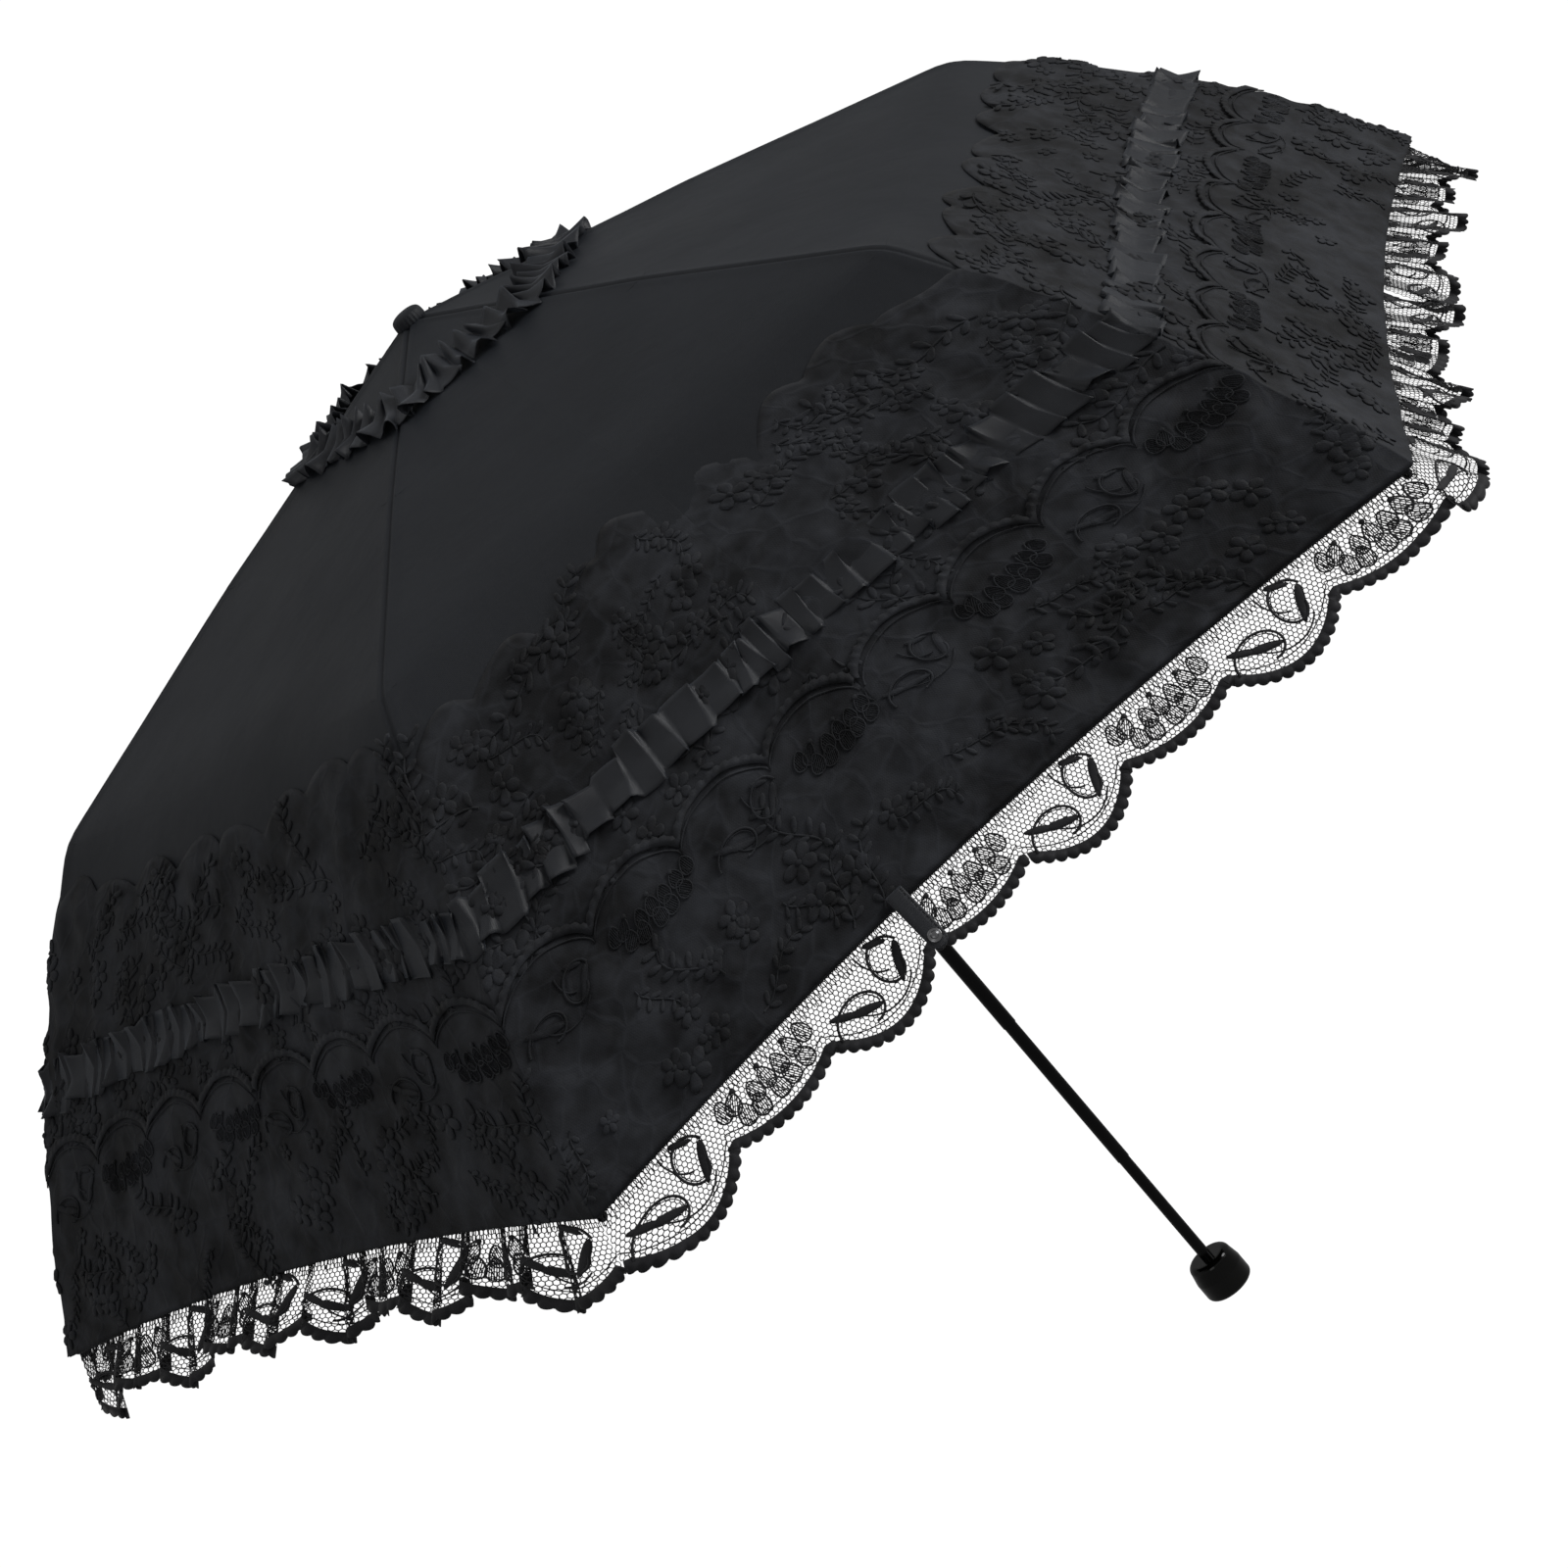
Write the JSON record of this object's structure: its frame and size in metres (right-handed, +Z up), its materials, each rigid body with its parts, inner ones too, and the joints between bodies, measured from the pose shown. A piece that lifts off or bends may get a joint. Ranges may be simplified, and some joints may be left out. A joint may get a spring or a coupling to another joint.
{
  "type": "lace parasol",
  "caption": "Compact folding parasol: hexagonal black satin canopy with lace border, pleated ribbon and lace frill on a three-fold frame, telescoping shaft and knob.",
  "frame": {"origin": "centre of the knob's bottom face, on the shaft's axis", "axes": "+Z up the shaft from the knob to the crown; +X towards rib 1; ribs every 60 degrees anticlockwise seen from above"},
  "size_m": [0.9126, 0.7904, 0.6499],
  "materials": {
    "gloss_black": "polished black moulded plastic",
    "black_tube": "black satin paint on steel tube",
    "rib_steel": "black satin paint on pressed steel",
    "tie_wire": "drawn steel wire",
    "black_nylon": "moulded black nylon",
    "satin": "near-black satin-weave polyester",
    "lace": "black polyester lace on net",
    "stud": "nickel-plated press stud"
  },
  "bodies": {
    "handle": {"knob": "gloss_black", "knob_plug": "gloss_black", "tube_inner": "black_tube"},
    "lower_shaft": {"tube_lower": "black_tube"},
    "middle_shaft": {"tube_middle": "black_tube"},
    "mast": {"tube_top": "black_tube", "crown": "black_nylon", "crown_wire": "tie_wire", "crown_button": "lace", "runner_latch": "tie_wire"},
    "runner": {"runner": "black_nylon", "runner_wire": "tie_wire"},
    "top_1": {"top_rib_1": "rib_steel", "canopy_inner_1": "satin"},
    "middle_1": {"middle_rib_1": "rib_steel", "canopy_middle_1": "satin"},
    "outer_1": {"outer_rib_1": "rib_steel", "canopy_outer_1": "lace"},
    "stay_1": {"stretcher_1": "rib_steel"},
    "top_2": {"top_rib_2": "rib_steel", "canopy_inner_2": "satin"},
    "middle_2": {"middle_rib_2": "rib_steel", "canopy_middle_2": "satin"},
    "outer_2": {"outer_rib_2": "rib_steel", "canopy_outer_2": "lace"},
    "stay_2": {"stretcher_2": "rib_steel"},
    "top_3": {"top_rib_3": "rib_steel", "canopy_inner_3": "satin"},
    "middle_3": {"middle_rib_3": "rib_steel", "canopy_middle_3": "satin"},
    "outer_3": {"outer_rib_3": "rib_steel", "canopy_outer_3": "lace"},
    "stay_3": {"stretcher_3": "rib_steel"},
    "top_4": {"top_rib_4": "rib_steel", "canopy_inner_4": "satin"},
    "middle_4": {"middle_rib_4": "rib_steel", "canopy_middle_4": "satin"},
    "outer_4": {"outer_rib_4": "rib_steel", "canopy_outer_4": "lace"},
    "stay_4": {"stretcher_4": "rib_steel"},
    "top_5": {"top_rib_5": "rib_steel", "canopy_inner_5": "satin"},
    "middle_5": {"middle_rib_5": "rib_steel", "canopy_middle_5": "satin"},
    "outer_5": {"outer_rib_5": "rib_steel", "canopy_outer_5": "lace", "tie_strap": "satin", "press_stud": "stud"},
    "stay_5": {"stretcher_5": "rib_steel"},
    "top_6": {"top_rib_6": "rib_steel", "canopy_inner_6": "satin"},
    "middle_6": {"middle_rib_6": "rib_steel", "canopy_middle_6": "satin"},
    "outer_6": {"outer_rib_6": "rib_steel", "canopy_outer_6": "lace"},
    "stay_6": {"stretcher_6": "rib_steel"}
  },
  "joints": [
    {"name": "lower_slide", "type": "slide", "parent": "handle", "child": "lower_shaft", "axis": [0, 0, -1], "range_m": [0, 0.068]},
    {"name": "middle_slide", "type": "slide", "parent": "lower_shaft", "child": "middle_shaft", "axis": [0, 0, -1], "range_m": [0, 0.092]},
    {"name": "mast_slide", "type": "slide", "parent": "middle_shaft", "child": "mast", "axis": [0, 0, -1], "range_m": [0, 0.198]},
    {"name": "fold", "type": "hinge", "parent": "mast", "child": "top_1", "pos_m": [0.01, 0, 0.638], "axis": [0, 1, 0], "range_deg": [0, 72.4], "deforming": ["canopy_inner_1", "canopy_inner_2", "canopy_inner_3", "canopy_inner_4", "canopy_inner_5", "canopy_inner_6", "canopy_middle_1", "canopy_middle_2", "canopy_middle_3", "canopy_middle_4", "canopy_middle_5", "canopy_middle_6", "canopy_outer_1", "canopy_outer_2", "canopy_outer_3", "canopy_outer_4", "canopy_outer_5", "canopy_outer_6", "tie_strap", "press_stud", "runner_latch"]},
    {"name": "runner_slide", "type": "slide", "parent": "mast", "child": "runner", "axis": [0, 0, -1], "range_m": [0, 0.0872]},
    {"name": "middle_hinge_1", "type": "hinge", "parent": "top_1", "child": "middle_1", "pos_m": [0.14741, 0, 0.60221], "axis": [0, 1, 0], "range_deg": [-177.5, 0]},
    {"name": "outer_hinge_1", "type": "hinge", "parent": "middle_1", "child": "outer_1", "pos_m": [0.28069, 0, 0.56273], "axis": [0, 1, 0], "range_deg": [0, 144.7]},
    {"name": "stay_hinge_1", "type": "hinge", "parent": "runner", "child": "stay_1", "pos_m": [0.01, 0, 0.5503], "axis": [0, -1, 0], "range_deg": [0, 44.4]},
    {"name": "top_hinge_2", "type": "hinge", "parent": "mast", "child": "top_2", "pos_m": [0.005, 0.00866, 0.638], "axis": [-0.866, 0.5, 0], "range_deg": [0, 72.5]},
    {"name": "middle_hinge_2", "type": "hinge", "parent": "top_2", "child": "middle_2", "pos_m": [0.07371, 0.12767, 0.60221], "axis": [-0.866, 0.5, 0], "range_deg": [-177.5, 0]},
    {"name": "outer_hinge_2", "type": "hinge", "parent": "middle_2", "child": "outer_2", "pos_m": [0.14034, 0.24308, 0.56273], "axis": [-0.866, 0.5, 0], "range_deg": [0, 144.7]},
    {"name": "stay_hinge_2", "type": "hinge", "parent": "runner", "child": "stay_2", "pos_m": [0.005, 0.00866, 0.5503], "axis": [0.866, -0.5, 0], "range_deg": [0, 44.4]},
    {"name": "top_hinge_3", "type": "hinge", "parent": "mast", "child": "top_3", "pos_m": [-0.005, 0.00866, 0.638], "axis": [-0.866, -0.5, 0], "range_deg": [0, 72.5]},
    {"name": "middle_hinge_3", "type": "hinge", "parent": "top_3", "child": "middle_3", "pos_m": [-0.07371, 0.12767, 0.60221], "axis": [-0.866, -0.5, 0], "range_deg": [-177.5, 0]},
    {"name": "outer_hinge_3", "type": "hinge", "parent": "middle_3", "child": "outer_3", "pos_m": [-0.14034, 0.24308, 0.56273], "axis": [-0.866, -0.5, 0], "range_deg": [0, 144.7]},
    {"name": "stay_hinge_3", "type": "hinge", "parent": "runner", "child": "stay_3", "pos_m": [-0.005, 0.00866, 0.5503], "axis": [0.866, 0.5, 0], "range_deg": [0, 44.4]},
    {"name": "top_hinge_4", "type": "hinge", "parent": "mast", "child": "top_4", "pos_m": [-0.01, 0, 0.638], "axis": [0, -1, 0], "range_deg": [0, 72.5]},
    {"name": "middle_hinge_4", "type": "hinge", "parent": "top_4", "child": "middle_4", "pos_m": [-0.14741, 0, 0.60221], "axis": [0, -1, 0], "range_deg": [-177.5, 0]},
    {"name": "outer_hinge_4", "type": "hinge", "parent": "middle_4", "child": "outer_4", "pos_m": [-0.28069, 0, 0.56273], "axis": [0, -1, 0], "range_deg": [0, 144.7]},
    {"name": "stay_hinge_4", "type": "hinge", "parent": "runner", "child": "stay_4", "pos_m": [-0.01, 0, 0.5503], "axis": [0, 1, 0], "range_deg": [0, 44.4]},
    {"name": "top_hinge_5", "type": "hinge", "parent": "mast", "child": "top_5", "pos_m": [-0.005, -0.00866, 0.638], "axis": [0.866, -0.5, 0], "range_deg": [0, 72.5]},
    {"name": "middle_hinge_5", "type": "hinge", "parent": "top_5", "child": "middle_5", "pos_m": [-0.07371, -0.12767, 0.60221], "axis": [0.866, -0.5, 0], "range_deg": [-177.5, 0]},
    {"name": "outer_hinge_5", "type": "hinge", "parent": "middle_5", "child": "outer_5", "pos_m": [-0.14034, -0.24308, 0.56273], "axis": [0.866, -0.5, 0], "range_deg": [0, 144.7]},
    {"name": "stay_hinge_5", "type": "hinge", "parent": "runner", "child": "stay_5", "pos_m": [-0.005, -0.00866, 0.5503], "axis": [-0.866, 0.5, 0], "range_deg": [0, 44.4]},
    {"name": "top_hinge_6", "type": "hinge", "parent": "mast", "child": "top_6", "pos_m": [0.005, -0.00866, 0.638], "axis": [0.866, 0.5, 0], "range_deg": [0, 72.5]},
    {"name": "middle_hinge_6", "type": "hinge", "parent": "top_6", "child": "middle_6", "pos_m": [0.07371, -0.12767, 0.60221], "axis": [0.866, 0.5, 0], "range_deg": [-177.5, 0]},
    {"name": "outer_hinge_6", "type": "hinge", "parent": "middle_6", "child": "outer_6", "pos_m": [0.14034, -0.24308, 0.56273], "axis": [0.866, 0.5, 0], "range_deg": [0, 144.7]},
    {"name": "stay_hinge_6", "type": "hinge", "parent": "runner", "child": "stay_6", "pos_m": [0.005, -0.00866, 0.5503], "axis": [-0.866, -0.5, 0], "range_deg": [0, 44.4]}
  ],
  "couplings": [
    {"joint": "runner_slide", "follows": "fold", "m_per_rad": 0.06895},
    {"joint": "middle_hinge_1", "follows": "fold", "ratio": -2.45},
    {"joint": "outer_hinge_1", "follows": "fold", "ratio": 1.997},
    {"joint": "stay_hinge_1", "follows": "fold", "ratio": 0.6116},
    {"joint": "top_hinge_2", "follows": "fold", "ratio": 1},
    {"joint": "middle_hinge_2", "follows": "fold", "ratio": -2.45},
    {"joint": "outer_hinge_2", "follows": "fold", "ratio": 1.997},
    {"joint": "stay_hinge_2", "follows": "fold", "ratio": 0.6116},
    {"joint": "top_hinge_3", "follows": "fold", "ratio": 1},
    {"joint": "middle_hinge_3", "follows": "fold", "ratio": -2.45},
    {"joint": "outer_hinge_3", "follows": "fold", "ratio": 1.997},
    {"joint": "stay_hinge_3", "follows": "fold", "ratio": 0.6116},
    {"joint": "top_hinge_4", "follows": "fold", "ratio": 1},
    {"joint": "middle_hinge_4", "follows": "fold", "ratio": -2.45},
    {"joint": "outer_hinge_4", "follows": "fold", "ratio": 1.997},
    {"joint": "stay_hinge_4", "follows": "fold", "ratio": 0.6116},
    {"joint": "top_hinge_5", "follows": "fold", "ratio": 1},
    {"joint": "middle_hinge_5", "follows": "fold", "ratio": -2.45},
    {"joint": "outer_hinge_5", "follows": "fold", "ratio": 1.997},
    {"joint": "stay_hinge_5", "follows": "fold", "ratio": 0.6116},
    {"joint": "top_hinge_6", "follows": "fold", "ratio": 1},
    {"joint": "middle_hinge_6", "follows": "fold", "ratio": -2.45},
    {"joint": "outer_hinge_6", "follows": "fold", "ratio": 1.997},
    {"joint": "stay_hinge_6", "follows": "fold", "ratio": 0.6116}
  ]
}
